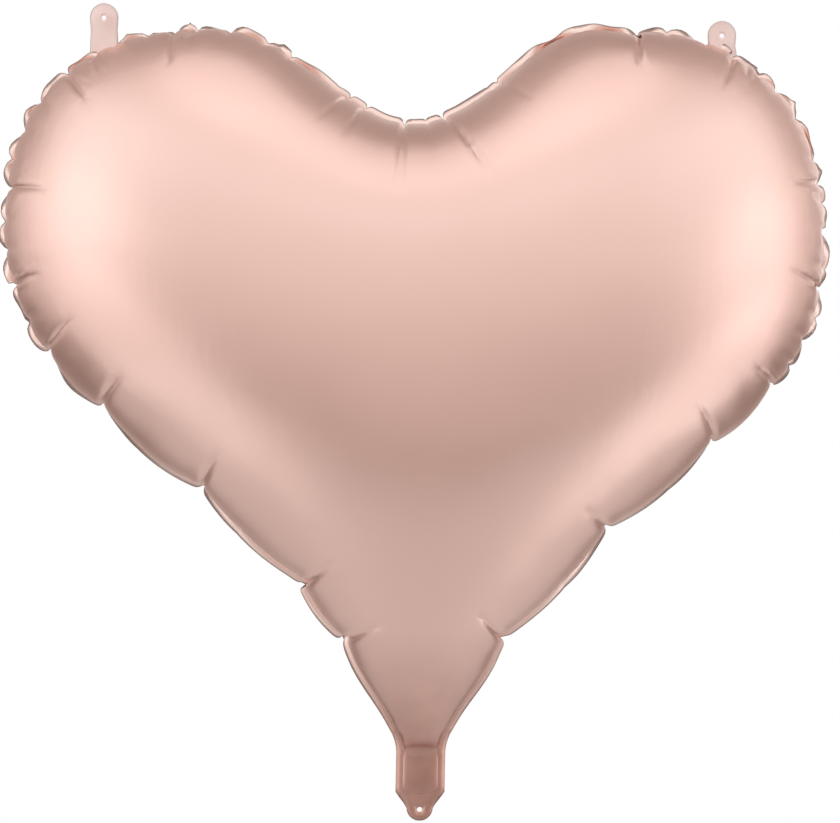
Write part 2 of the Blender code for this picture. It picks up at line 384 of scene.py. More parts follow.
def weld_loop(edge_half):
    """The gas space's edge: inside the cut edge all round, and closed across the tail at its shoulder."""
    half = inset(edge_half, WELD_WIDTH)
    half = half[half[:, 1] > TAIL_SHOULDER_Z + 2 * MM]
    end = [(x, TAIL_SHOULDER_Z + rise) for x, rise in PASSAGE_END]
    half = np.vstack([half, end[:-1]])
    return np.vstack([half, end[-1:], half[:0:-1] * (-1, 1)])


def edge_loop(edge_half):
    """The film's cut edge, which goes round the tail's fused lobe at the bottom."""
    turn = np.linspace(0, -np.pi / 2, 9)[:-1] - 0.05
    arch = np.stack([np.cos(turn), np.sin(turn)], axis=1) * LOBE_RADIUS + (0, LOBE_Z)
    taper = (0.55 * TAIL_HALF_WIDTH + 0.45 * LOBE_ROOT[0], TAPER_Z)
    end = np.vstack([taper, LOBE_ROOT, arch])
    return np.vstack([edge_half, end, end[::-1] * (-1, 1), edge_half[:0:-1] * (-1, 1)])


def rim_faces(rings, count):
    """Triangles between rings of count points, with diagonals that alternate, and the points' numbers."""
    index = np.arange((rings + 1) * count).reshape(rings + 1, count)
    a, b = index[:-1], np.roll(index[:-1], -1, axis=1)
    d, c = index[1:], np.roll(index[1:], -1, axis=1)
    faces = np.stack([np.stack([a, c, b], -1), np.stack([a, d, c], -1)], 2).reshape(-1, 3)
    other = np.stack([np.stack([a, d, b], -1), np.stack([b, d, c], -1)], 2).reshape(-1, 3)
    odd = ((np.arange(rings)[:, None] + np.arange(count)[None, :]) % 2 == 1).reshape(-1).repeat(2)
    faces[odd] = other[odd]
    return faces, index


def front_film(weld, core_step, rings):
    """The film inside the weld: rings that crowd towards the weld, and a core of even triangles."""
    count = len(weld)
    normal, depth = loop_normals(weld), rim_depth(weld)
    fractions = np.linspace(0, 1, rings + 1)
    ringed = [weld + normal * (depth * t**2)[:, None] for t in fractions]
    rim, index = rim_faces(rings, count)
    core_loop = ringed[-1]
    core_flat, core_faces = triangulated([core_loop], lattice(core_loop, core_step))
    core_faces = core_faces[is_inside(core_flat[core_faces].mean(axis=1), core_loop)]
    flat = np.vstack([*ringed, core_flat[count:]])
    ring = np.concatenate([np.repeat(fractions, count), np.full(len(core_flat) - count, 2.0)])
    core_index = np.concatenate([index[-1], rings * count + np.arange(count, len(core_flat))])
    faces = np.vstack([rim, core_index[core_faces]])
    return flat, ring, wound(flat, faces), index


def lobe_points():
    """Loose points in the tail's fused lobe."""
    columns = (-8, -4, 0, 4, 8)
    rows = (-52, -57, -69)
    return np.array([(x * MM, z * MM) for z in rows for x in columns if abs(x) < 6 or z > -60])


def flange_film(weld, edge, first):
    """The fused film outside the weld: its further points, numbered from first, and its faces."""
    count = len(weld)
    hole = circle((0, HOLE_Z), HOLE_RADIUS, 12)
    flat, faces = triangulated([weld, edge, hole], lobe_points())
    middle = flat[faces].mean(axis=1)
    sealed = is_inside(middle, edge) & ~is_inside(middle, weld) & ~is_inside(middle, hole)
    index = np.concatenate([np.arange(count), first + np.arange(len(flat) - count)])
    return flat[count:], index[faces[sealed]]


class Films:
    """The two films as laid out under the inflated heart, seen from the front.

    flat holds each point's x and z. ring is its place across the rim: 0 on the weld, 1 where the rim ends,
    above 1 further in and below 0 on the flange. sheet is -1 on the front film, 1 on the back and 0 where
    they are welded. Faces are grouped as front, back and flange. own numbers the front film's own points, and
    twin gives each point's fellow on the back film. index has the rim's points by ring and station, and
    station is each point's place along the weld, or -1 outside the rim."""

    def __init__(self, step, core_step, rings):
        edge_half = graded(half_edge(), step)
        self.step = step
        self.weld = weld_loop(edge_half)
        flat, ring, front, self.index = front_film(self.weld, core_step, rings)
        further, flange = flange_film(self.weld, edge_loop(edge_half), len(flat))
        flat = np.vstack([flat, further])
        ring = np.concatenate([ring, np.full(len(further), -1.0)])
        self.own = np.unique(front[ring[front] > 0])
        self.twin = np.arange(len(flat))
        self.twin[self.own] = len(flat) + np.arange(len(self.own))
        self.sheet = np.concatenate([np.zeros(len(flat)), np.ones(len(self.own))])
        self.sheet[self.own] = -1
        self.flat = np.vstack([flat, flat[self.own]])
        self.ring = np.concatenate([ring, ring[self.own]])
        self.faces = np.vstack([front, self.twin[front][:, ::-1], flange])
        self.front_count = len(front)
        station = np.full(len(flat), -1)
        station[self.index.ravel()] = np.tile(np.arange(len(self.weld)), rings + 1)
        self.station = np.concatenate([station, station[self.own]])


def dome_profile(fullness):
    """Height of a film balloon's profile, as a fraction. Fullness runs from 0 at the edge to 1 on top."""
    t = 1 - (1 - np.linspace(0, 1, 4001)) ** 2
    middle = (t[1:] + t[:-1]) / 2
    rise = middle**2 / np.sqrt(1 - middle**4) * np.diff(t)
    height = np.concatenate([[0], np.cumsum(rise)])
    return np.interp(np.sqrt(1 - np.clip(fullness, 0, 1)), t, height[-1] - height) / height[-1]


def add_at(index, values, count):
    return np.bincount(index, weights=values, minlength=count)


def solved_membrane(flat, faces, load, held):
    """A stretched membrane's deflection under a load, by finite elements and conjugate gradients."""
    count = len(flat)
    rows, columns, weights = [], [], []
    a, b, c = (flat[faces[:, k]] for k in range(3))
    doubled = cross2(b - a, c - a)
    for k in range(3):
        tip, left, right = (faces[:, (k + j) % 3] for j in range(3))
        cot = ((flat[left] - flat[tip]) * (flat[right] - flat[tip])).sum(axis=1) / doubled
        rows.append(left)
        columns.append(right)
        weights.append(cot / 2)
    row, column, weight = (np.concatenate(parts) for parts in (rows, columns, weights))
    force = add_at(faces.ravel(), np.repeat(doubled / 6 * load, 3), count)
    free = ~held

    def times(u):
        flow = weight * (u[row] - u[column])
        return (add_at(row, flow, count) - add_at(column, flow, count)) * free

    scale = 1 / np.maximum(add_at(row, weight, count) + add_at(column, weight, count), 1e-12)
    u = np.zeros(count)
    residual = force * free
    search = scale * residual
    energy = residual @ search
    goal = energy * 1e-9
    for _ in range(MEMBRANE_ROUNDS):
        pushed = times(search)
        gain = energy / (search @ pushed)
        u += gain * search
        residual -= gain * pushed
        eased = scale * residual
        fresh = residual @ eased
        if fresh < goal:
            break
        search = eased + fresh / energy * search
        energy = fresh
    return u


def dome_heights(films):
    """Each point's distance from the middle plane."""
    front = films.faces[: films.front_count]
    count = len(films.twin)
    flat = films.flat[:count]
    held = films.ring[:count] <= 0
    load = np.interp(flat[front][:, :, 1].mean(axis=1), LOAD_FADE, (TAIL_LOAD, 1))
    u = solved_membrane(flat, front, load, held)
    height = DOME_HEIGHT * dome_profile(u / u.max())
    x, z = flat.T
    across = np.clip(1 - (np.abs(x) / (TAIL_HALF_WIDTH - WELD_WIDTH)) ** 6, 0, 1)
    passage_end = TAIL_SHOULDER_Z + PASSAGE_END[-1][1]
    tail = TAIL_BULGE * across * np.sqrt(ramp_up(z, passage_end, 5 * MM))
    share = ramp_up(z, -16 * MM, 18 * MM)
    share = share * share * (3 - 2 * share)
    height = np.where(held, 0, share * height + (1 - share) * tail)
    return np.concatenate([height, height[films.own]])


# ---------------------------------------------------------------- inflation

class Gather:
    """Adds rows of values up onto points, many times over the same index."""

    def __init__(self, index):
        self.order = np.argsort(index, kind="stable")
        ordered = index[self.order]
        self.starts = np.flatnonzero(np.concatenate([[True], ordered[1:] != ordered[:-1]]))
        self.points = ordered[self.starts]

    def add(self, values, out):
        out[self.points] += np.add.reduceat(values[self.order], self.starts, axis=0)


def edges_of(faces):
    """Unique edges, and for each face corner k the edge from k to k + 1."""
    ends = np.vstack([faces[:, [0, 1]], faces[:, [1, 2]], faces[:, [2, 0]]])
    edges, index = np.unique(np.sort(ends, axis=1), axis=0, return_inverse=True)
    return edges, index.reshape(3, -1)


def hoop_directions(films):
    """Unit vectors along the weld for each point of the rim, and zero elsewhere."""
    run = np.roll(films.weld, -1, axis=0) - np.roll(films.weld, 1, axis=0)
    run /= np.linalg.norm(run, axis=1)[:, None]
    out = np.zeros((len(films.flat), 3))
    inside = films.station >= 0
    out[inside, 0] = run[films.station[inside], 0]
    out[inside, 2] = run[films.station[inside], 1]
    outside = np.flatnonzero(films.ring < 0)
    for first in range(0, len(outside), 4000):
        part = outside[first : first + 4000]
        gaps = films.flat[part][:, None, :] - films.weld[None, :, :]
        near = (gaps**2).sum(axis=2).argmin(axis=1)
        out[part, 0] = run[near, 0]
        out[part, 2] = run[near, 1]
    return out


def arc_distances(films, place):
    """Each point's distance from the weld along the film, for the rim; further in it is the rim's own."""
    out = np.zeros(len(films.flat))
    for side in (films.index, films.twin[films.index]):
        line = place[side]
        steps = np.linalg.norm(np.diff(line, axis=0), axis=2)
        out[side[1:]] = np.cumsum(steps, axis=0)
    out[films.ring > 1] = 1.0
    return out


def rest_lengths(films, rest_place, excess, edges):
    """The edges' lengths at rest: those of rest_place, longer along the weld by excess."""
    start, end = edges.T
    hoop = hoop_directions(films)
    span = rest_place[end] - rest_place[start]
    along = ((hoop[start] + hoop[end]) / 2 * span).sum(axis=1)
    more = (excess[start] + excess[end]) / 2
    return np.sqrt((span**2).sum(axis=1) + ((1 + more) ** 2 - 1) * along**2)


def relax(films, start_place, rest_place, excess, bend):
    """Relaxes the films under pressure, against stretching and bending."""
    count = len(films.flat)
    edges, index = edges_of(films.faces)
    start, end = edges.T
    rest = rest_lengths(films, rest_place, excess, edges)
    gas = films.faces[: 2 * films.front_count]
    stiffness = np.ones(len(edges))
    stiffness[np.unique(index[:, 2 * films.front_count :])] = FLANGE_STIFFNESS
    mass = np.bincount(edges.ravel(), weights=np.repeat(stiffness, 2), minlength=count) / 6
    height = films.flat[gas][:, :, 1].mean(axis=1)
    push = (PRESSURE * ramp_up(height, 0, 20 * MM) / 6)[:, None]
    bending = Bending(films, rest_place, edges, index)
    from_edges = Gather(np.concatenate([start, end]))
    from_faces = Gather(gas.T.ravel())
    held = np.flatnonzero(films.ring == 0)
    still = films.flat[:, 1] < STILL_BELOW
    place = start_place.copy()
    speed = np.zeros_like(place)
    for _ in range(RELAX_STEPS):
        span = place[end] - place[start]
        length = np.sqrt(np.einsum("ij,ij->i", span, span))
        span *= (stiffness * (length - rest) / length)[:, None]
        force = np.zeros_like(place)
        from_edges.add(np.concatenate([span, -span]), force)
        a, b, c = place[gas[:, 0]], place[gas[:, 1]], place[gas[:, 2]]
        swell = np.cross(b - a, c - a) * push
        from_faces.add(np.concatenate([swell, swell, swell]), force)
        force += bend * bending.force(place)
        force[held] += SEAM_GUIDE * (rest_place[held] - place[held])
        speed = (speed + TIME_STEP * force / mass[:, None]) * DRAG
        speed[still] = 0
        place = place + TIME_STEP * speed
    return place


class Bending:
    """The films' resistance to being bent out of their rest form."""

    def __init__(self, films, rest_place, edges, index):
        self.row, self.column, weight = bend_weights(films, rest_place, edges, index)
        self.weight = weight[:, None]
        self.from_rows = Gather(self.row)
        self.from_columns = Gather(self.column)
        self.rest = self.bends(rest_place)

    def bends(self, place):
        """How far each point lies from the mean of the points round it."""
        out = np.zeros_like(place)
        self.from_rows.add((place[self.column] - place[self.row]) * self.weight, out)
        return out

    def force(self, place):
        bent = self.bends(place) - self.rest
        spread = self.weight * bent[self.row]
        out = np.zeros_like(place)
        self.from_columns.add(-spread, out)
        self.from_rows.add(spread, out)
        return out


def bend_weights(films, place, edges, index):
    """Rows of the films' bending operator: each point against the cotangent-weighted mean round it."""
    faces = films.faces
    weight = np.zeros(len(edges))
    for k in range(3):
        tip, left, right = (place[faces[:, (k + j) % 3]] for j in (2, 0, 1))
        one, two = left - tip, right - tip
        cot = (one * two).sum(axis=1) / np.maximum(np.linalg.norm(np.cross(one, two), axis=1), 1e-12)
        np.add.at(weight, index[k], cot)
    weight = np.clip(weight, 0.05, 6)
    row = np.concatenate([edges[:, 0], edges[:, 1]])
    column = np.concatenate([edges[:, 1], edges[:, 0]])
    weight = np.concatenate([weight, weight])
    inner = films.sheet[row] != 0
    row, column, weight = row[inner], column[inner], weight[inner]
    total = np.bincount(row, weights=weight, minlength=len(films.flat))
    return row, column, weight / total[row]


# ---------------------------------------------------------------- puckers

def loop_lengths(loop):
    """The distance along a loop to each of its points, and last of all the whole way round."""
    steps = np.linalg.norm(np.roll(loop, -1, axis=0) - loop, axis=1)
    return np.concatenate([[0], np.cumsum(steps)])


def cusp_stations(films):
    """The weld stations of the creases, and those of the small puckers between them on the lobes."""
    weld = films.weld
    large = []
    for side in (1, -1):
        half = np.flatnonzero(weld[:, 0] * side >= 0)
        line = weld[half] * (side, 1)
        large += [half[i] for i in cusp_points(line, side)]
    large = np.array(sorted(large))
    along = loop_lengths(weld)[:-1]
    noise = np.random.default_rng(11)
    small = []
    ends = np.concatenate([along[large], [along[large[0]] + loop_lengths(weld)[-1]]])
    for start, end in zip(ends[:-1], ends[1:]):
        count = round((end - start) / PUCKER_SPACING)
        for k in range(1, count):
            place = start + (end - start) * (k + noise.uniform(-0.2, 0.2)) / count
            station = int(np.argmin(np.abs(along - place)))
            x, z = weld[station]
            if z > PUCKERS_ABOVE and abs(x) > PUCKERS_BEYOND:
                small.append(station)
    return large, np.array(small)


def cleft_station(films, x):
    """The weld station in the cleft at a distance from the middle."""
    candidates = np.flatnonzero(films.weld[:, 1] > CLEFT_ABOVE)
    return int(candidates[np.argmin(np.abs(films.weld[candidates, 0] - x))])


def scallops(films, large, small):
    """For each station, how near it is to a pucker (1 on it, 0 midway) and the puckers' spacing there."""
    lengths = loop_lengths(films.weld)
    along, whole = lengths[:-1], lengths[-1]
    tail = films.weld[:, 1] < 12 * MM
    ends = np.flatnonzero(tail & ~(np.roll(tail, 1) & np.roll(tail, -1)))
    cleft = [cleft_station(films, x) for x in CLEFT_PUCKERS]
    places = np.sort(along[np.unique(np.concatenate([large, small, ends, cleft]).astype(int))])
    places = np.concatenate([[places[-1] - whole], places, [places[0] + whole]])
    after = np.searchsorted(places, along, side="right")
    start, end = places[after - 1], places[np.minimum(after, len(places) - 1)]
    part = (along - start) / np.maximum(end - start, 1e-9)
    return (2 * part - 1) ** 2, end - start


def outward_normals(place, films):
    faces = films.faces[: 2 * films.front_count]
    a, b, c = (place[faces[:, k]] for k in range(3))
    flat = np.cross(b - a, c - a)
    out = np.zeros_like(place)
    for k in range(3):
        np.add.at(out, faces[:, k], flat)
    size = np.linalg.norm(out, axis=1)
    return out / np.where(size > 0, size, 1)[:, None]


def rim_normals(films, place, stations):
    """Outward normals, which lie in the middle plane on the weld and on the flange."""
    normal = outward_normals(place, films)
    inward = loop_normals(films.weld)
    flange = films.ring < 0
    normal[flange] = 0
    normal[flange, 0] = -inward[stations[flange], 0]
    normal[flange, 2] = -inward[stations[flange], 1]
    seam = films.ring == 0
    normal[seam, 1] = 0
    return normal


def scalloped(films, place, arc, stations, large, small):
    """The dome with its edge drawn in at each pucker and swelling between them."""
    near, spacing = scallops(films, large, small)
    in_rim = stations >= 0
    at = stations[in_rim]
    strength = ramp_up(films.weld[:, 1], 15 * MM, 60 * MM) * (1 - 0.92 * near_cleft(films.weld))
    size = np.minimum(SCALLOP * spacing, SCALLOP_MOST) * strength
    reach = 0.30 * spacing + 8 * MM
    normal = rim_normals(films, place, stations)
    fade = np.exp(-((arc[in_rim] / reach[at]) ** 2))
    out = place.copy()
    out[in_rim] -= normal[in_rim] * (size[at] * (near[at] - 0.35) * fade)[:, None]
    return out


def folded(films, place, stations, large, small):
    """The inflated films with the sharp folds that run in from the seam."""
    normal = rim_normals(films, place, stations)
    inward = loop_normals(films.weld)
    flat = films.flat
    noise = np.random.default_rng(5)
    out = place.copy()
    for group, (length, depth, width) in ((large, FLANK_FOLD), (small, PUCKER_FOLD)):
        for station in group:
            share = noise.uniform(0.75, 1.15)
            turn = noise.normal(0, 0.1)
            across = inward[station]
            line = np.array((across[0] - turn * across[1], across[1] + turn * across[0]))
            out -= fold(flat, normal, films.weld[station], line, length * share, depth * share, width)
    for x, length, lean, depth in CLEFT_FOLDS:
        station = cleft_station(films, x)
        line = np.array((math.sin(lean), -math.cos(lean)))
        out -= fold(flat, normal, films.weld[station], line, length, depth, CLEFT_FOLD_WIDTH)
    return out


def flange_turns(films):
    """The angle at which the flange stands out of the middle plane, by station."""
    x, z = films.weld.T
    along = loop_lengths(films.weld)[:-1]
    wave = np.sin(along / PUCKER_SPACING * math.pi) + 0.6 * np.sin(along / (41 * MM) + 1)
    lobes = on_lobes(films.weld) * (1 - near_cleft(films.weld))
    right = np.exp(-(((z - 0.30) / 0.13) ** 4)) * (x > 0)
    left = np.exp(-(((z - 0.33) / 0.10) ** 4)) * (x < 0)
    turn = FLANGE_TURN * np.clip(0.62 * wave * lobes + np.maximum(right, left) * (1 - 0.6 * lobes), -1, 1)
    turn += 0.2 * np.sin(along / (33 * MM))
    return turn * ramp_up(z, 10 * MM, 30 * MM)


def tilted_flange(films, place, stations):
    """The flange stands out from the weld at an angle that changes along the seam."""
    turn = flange_turns(films)
    normal = rim_normals(films, place, stations)
    weld_place = place[films.index[0]]
    outside = np.flatnonzero((films.ring < 0) & (films.flat[:, 1] > 5 * MM))
    at = stations[outside]
    side = films.flat[outside] - films.weld[at]
    reach = np.linalg.norm(side, axis=1)
    share = ramp_up(films.flat[outside, 1], 5 * MM, 20 * MM)[:, None]
    run = hoop_directions(films)[outside]
    slide = (side[:, 0] * run[:, 0] + side[:, 1] * run[:, 2])[:, None]
    stand = np.sqrt(np.maximum(reach[:, None] ** 2 - slide**2, 0))
    tipped = normal[outside] * np.cos(turn[at])[:, None]
    tipped[:, 1] += np.sin(turn[at])
    out = place.copy()
    out[outside] = (1 - share) * place[outside] + share * (weld_place[at] + run * slide + tipped * stand)
    return out


def fold(flat, normal, start, line, length, depth, width):
    """How far one sharp valley, which runs from start along line, draws the film in at each point."""
    gap = flat - start
    along = gap @ line
    aside = np.abs(cross2(gap, np.broadcast_to(line, gap.shape)))
    fade = np.clip(1 - along / length, 0, 1) ** 0.6 * np.clip(1 + along / (2 * WELD_WIDTH), 0, 1)
    valley = np.exp(-aside / width) - 0.35 * np.exp(-aside / (2.8 * width))
    return normal * (depth * fade * valley)[:, None]


def weld_excess(films):
    """How much longer the film is along the weld than the inflated outline, as a fraction, by station."""
    tip = ramp_up(films.weld[:, 1], 15 * MM, 90 * MM)
    lobes = on_lobes(films.weld)
    return (EXCESS * (1 - lobes) + LOBE_EXCESS * lobes) * tip * (1 - near_cleft(films.weld))


def nearest_stations(films):
    """Each point's place along the weld, the nearest one for the flange's points, and -1 in the core."""
    stations = films.station.copy()
    outside = np.flatnonzero(films.ring < 0)
    gaps = films.flat[outside][:, None, :] - films.weld[None, :, :]
    stations[outside] = (gaps**2).sum(axis=2).argmin(axis=1)
    return stations


def disturbed(films, rest, arc, stations):
    """The rest form with a little noise and a wavy seam, which the relaxation starts from."""
    noise = np.random.default_rng(7)
    start = rest + noise.normal(0, NOISE, rest.shape) * (films.flat[:, 1:] > 10 * MM)
    in_rim = stations >= 0
    wave = np.sin(loop_lengths(films.weld)[:-1] / PUCKER_SPACING * math.pi)
    wave *= on_lobes(films.weld) * (1 - near_cleft(films.weld))
    start[in_rim, 1] += SEAM_WAVE * wave[stations[in_rim]] * np.exp(-arc[in_rim] / SEAM_WAVE_REACH)
    return start


def inflated_films():
    films = Films(*FULL_MESH)
    height = dome_heights(films)
    sheet = np.where(films.ring > 0, films.sheet, 0)
    dome = np.stack([films.flat[:, 0], sheet * height, films.flat[:, 1]], axis=1)
    arc = arc_distances(films, dome)
    stations = nearest_stations(films)
    large, small = cusp_stations(films)
    rest = scalloped(films, dome, arc, stations, large, small)
    in_rim = stations >= 0
    excess = np.zeros(len(films.flat))
    excess[in_rim] = weld_excess(films)[stations[in_rim]] * np.exp(-arc[in_rim] / EXCESS_REACH)
    start = disturbed(films, rest, arc, stations)
    bend = BEND * (FULL_MESH[0] / films.step) ** 2
    place = relax(films, start, rest, excess, bend)
    place = folded(films, place, stations, large, small)
    return films, tilted_flange(films, place, stations)


# ---------------------------------------------------------------- pieces

def mesh_piece(name, place, faces, material):
    used, index = np.unique(faces, return_inverse=True)
    mesh = bpy.data.meshes.new(name)
    mesh.from_pydata(place[used].tolist(), [], index.reshape(faces.shape).tolist())
    mesh.materials.append(material)
    mesh.shade_smooth()
    piece = bpy.data.objects.new(name, mesh)
    bpy.context.scene.collection.objects.link(piece)
    return piece


def sharpen(piece, is_sharp):
    """A crease between neighbouring points that are both sharp."""
    ends = np.empty(len(piece.data.edges) * 2, int)
    piece.data.edges.foreach_get("vertices", ends)
    attribute = piece.data.attributes.new("sharp_edge", "BOOLEAN", "EDGE")
    attribute.data.foreach_set("value", is_sharp[ends.reshape(-1, 2)].all(axis=1))


def set_attribute(piece, name, values):
    attribute = piece.data.attributes.new(name, "FLOAT", "POINT")
    attribute.data.foreach_set("value", values.astype(np.float32))


def swayed(place):
    """The real balloon isn't quite symmetric: its lower flanks and its tail lean to the right."""
    out = place.copy()
    out[:, 0] += np.interp(place[:, 2], *zip(*SWAY))
    return out


def thicken(piece, thickness, offset):
    film = piece.modifiers.new("film", "SOLIDIFY")
    film.thickness = thickness
    film.offset = offset
    return film


def make_foil(material):
    """The front and the back foil, each with its own layer of the welded flange."""
    films, place = inflated_films()
    place = swayed(place)
    half = films.front_count
    front, back, flange = films.faces[:half], films.faces[half : 2 * half], films.faces[2 * half :]
    across = np.zeros(len(films.flat))
    outside = np.flatnonzero(films.ring < 0)
    across[outside] = np.clip(distance_to(films.weld, films.flat[outside]) / WELD_WIDTH, 0, 1)
    band = (films.ring <= 0).astype(float)
    # Painted shade: from the middle down to the heart's tip and the tail the film's colour darkens, where
    # less light falls from below.
    painted_low_shade = 1 - ramp_up(films.flat[:, 1], PAINTED_SHADE_TOP - PAINTED_SHADE_REACH, PAINTED_SHADE_REACH)
    for name, faces, nodes in (
        ("front_foil", np.vstack([front, flange]), ("front_panel", "tail_front_film")),
        ("back_foil", np.vstack([back, flange[:, ::-1]]), ("back_panel", "tail_back_film")),
    ):
        piece = mesh_piece(name, place, faces, material)
        used = np.unique(faces)
        for key, values in (("flange", across), ("band", band), ("painted_low_shade", painted_low_shade)):
            set_attribute(piece, key, values[used])
        sharpen(piece, films.ring[used] == 0)
        thicken(piece, FILM, offset=1)
        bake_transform(piece)
        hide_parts(*nodes)


def tab_outline(x, z, root_z):
    """A round head with a slight waist below it, and a wider foot that stays hidden behind the seam."""
    around = np.linspace(0, np.pi, 19)
    arch = np.stack([np.cos(around), np.sin(around)], axis=1) * TAB_RADIUS + (x, z)
    foot = np.array([(x - TAB_FOOT, root_z - TAB_SINK), (x + TAB_FOOT, root_z - TAB_SINK)])
    waist = np.array([(x - TAB_RADIUS * 0.94, z - 10 * MM), (x - TAB_RADIUS, root_z)])
    waist_right = waist[::-1] * (-1, 1) + (2 * x, 0)
    return resampled(np.vstack([arch, waist, foot, waist_right, arch[:1]]), TAB_STEP)[:-1]


def make_tab(side, head, material):
    """A hanging tab: a punched tongue of fused film that stands on the seam and curls a little."""
    x, z = head
    fold_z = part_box(f"{side}_hanging_tab")[0][2]
    root_z = fold_z + 1 * MM
    loop = tab_outline(x, z, root_z)
    hole = circle(head, TAB_HOLE_RADIUS, 16)
    inner = lattice(loop[::-1], TAB_STEP)
    inner = inner[np.hypot(*(inner - head).T) > TAB_HOLE_RADIUS + 1.2 * MM]
    flat, faces = triangulated([loop, hole], inner)
    middle = flat[faces].mean(axis=1)
    faces = faces[is_inside(middle, loop) & (np.hypot(*(middle - head).T) > TAB_HOLE_RADIUS * 0.98)]
    rise = ramp_up(flat[:, 1], root_z, TAB_CURL_REACH)
    curl = TAB_CURL * rise**2 * np.cos((flat[:, 0] - x) / TAB_RADIUS * 1.3)
    place = np.stack([flat[:, 0], -curl, flat[:, 1]], axis=1)
    piece = mesh_piece(f"{side}_tab", swayed(place), faces, material)
    gap = distance_to(resampled(np.vstack([loop, loop[:1]]), 1 * MM), flat)
    set_attribute(piece, "flange", np.clip(1 - gap / (3 * MM), 0, 1)[np.unique(faces)])
    thicken(piece, 2 * FILM, offset=0).use_even_offset = True
    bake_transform(piece)
    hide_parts(f"{side}_hanging_tab")


def make_valve(nodes, material):
    """The valve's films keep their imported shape, and lean with the tail that they stand in."""
    bodies = {
        "inlet_front": "tail",
        "inlet_back": "tail",
        "flap_front": "valve_front",
        "flap_back": "valve_back",
    }
    for part, body in bodies.items():
        mesh = nodes[f"valve_{part}"].data.copy()
        place = np.empty(len(mesh.vertices) * 3)
        mesh.vertices.foreach_get("co", place)
        mesh.vertices.foreach_set("co", swayed(place.reshape(-1, 3)).ravel())
        mesh.materials.clear()
        mesh.materials.append(material)
        piece = bpy.data.objects.new(f"valve_film_{part}", mesh)
        bpy.context.scene.collection.objects.link(piece)
        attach(piece, body)
        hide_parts(f"valve_{part}")


# ---------------------------------------------------------------- materials

def fill_ramp(ramp, stops):
    """Gives a new colour ramp its stops, each made at its own place so that their order holds."""
    elements = ramp.elements
    elements.remove(elements[1])
    elements[0].position = stops[0][0]
    elements[0].color = (*stops[0][1], 1)
    for place, color in stops[1:]:
        elements.new(place).color = (*color, 1)


class Nodes:
    """Short calls for building one material."""

    def __init__(self, name):
        self.material = bpy.data.materials.new(name)
        self.material.use_nodes = True
        self.tree = self.material.node_tree
        self.shader = self.tree.nodes["Principled BSDF"]

    def link(self, output, target):
        self.tree.links.new(output, target)

    def noise(self, scale, detail=2.0, stretch=(1, 1, 1)):
        coordinates = self.tree.nodes.new("ShaderNodeTexCoord")
        mapping = self.tree.nodes.new("ShaderNodeMapping")
        mapping.inputs["Scale"].default_value = stretch
        noise = self.tree.nodes.new("ShaderNodeTexNoise")
        noise.inputs["Scale"].default_value = scale
        noise.inputs["Detail"].default_value = detail
        self.link(coordinates.outputs["Object"], mapping.inputs["Vector"])
        self.link(mapping.outputs["Vector"], noise.inputs["Vector"])
        return noise.outputs["Fac"]

    def attribute(self, name):
        node = self.tree.nodes.new("ShaderNodeAttribute")
        node.attribute_name = name
        return node.outputs["Fac"]

    def ramp(self, factor, *stops):
        node = self.tree.nodes.new("ShaderNodeValToRGB")
        fill_ramp(node.color_ramp, stops)
        self.link(factor, node.inputs["Fac"])
        return node.outputs["Color"]

    def ranged(self, value, low, high):
        """A value from 0 to 1 spread from low to high."""
        node = self.tree.nodes.new("ShaderNodeMapRange")
        node.inputs["To Min"].default_value = low
        node.inputs["To Max"].default_value = high
        self.link(value, node.inputs["Value"])
        return node.outputs["Result"]

    def mixed(self, factor, a, b):
        node = self.tree.nodes.new("ShaderNodeMix")
        node.data_type = "RGBA"
        self.link(factor, node.inputs["Factor"])
        self.link(a, node.inputs["A"])
        self.link(b, node.inputs["B"])
        return node.outputs["Result"]

    def bump(self, height, strength, distance, under=None):
        node = self.tree.nodes.new("ShaderNodeBump")
        node.inputs["Strength"].default_value = strength
        node.inputs["Distance"].default_value = distance
        self.link(height, node.inputs["Height"])
        if under:
            self.link(under, node.inputs["Normal"])
        return node.outputs["Normal"]


def foil_material():
    """Satin rose-gold film, paler on the heat seal, dark at the cut edge, and painted darker towards the
    heart's tip and the tail as painted shade.
    """
    nodes = Nodes("satin_rose_gold")
    shader = nodes.shader
    shader.inputs["Metallic"].default_value = 1.0
    film = nodes.ramp(nodes.noise(5), (0.35, FOIL_COLOR), (0.65, FOIL_WARM))
    flange = nodes.ramp(nodes.attribute("flange"), (0.0, FOIL_PALE), (0.7, FOIL_PALE), (1.0, FOIL_EDGE))
    color = nodes.mixed(nodes.attribute("band"), film, flange)
    # Painted shade: a darker colour mixed in towards the heart's tip and the tail.
    painted_shade_color = nodes.ramp(nodes.noise(30), (0.3, PAINTED_SHADE_DARK), (0.7, PAINTED_SHADE_LIGHT))
    color = nodes.mixed(nodes.attribute("painted_low_shade"), color, painted_shade_color)
    nodes.link(color, shader.inputs["Base Color"])
    nodes.link(nodes.ranged(nodes.noise(14, 3), 0.30, 0.40), shader.inputs["Roughness"])
    grain = nodes.bump(nodes.noise(900, 1), 0.08, 0.2 * MM)
    streaks = nodes.bump(nodes.noise(1, 2, (130, 130, 9)), 0.12, 0.8 * MM, grain)
    ripple = nodes.bump(nodes.noise(9, 2), 0.25, 1.2 * MM, streaks)
    nodes.link(ripple, shader.inputs["Normal"])
    return nodes.material


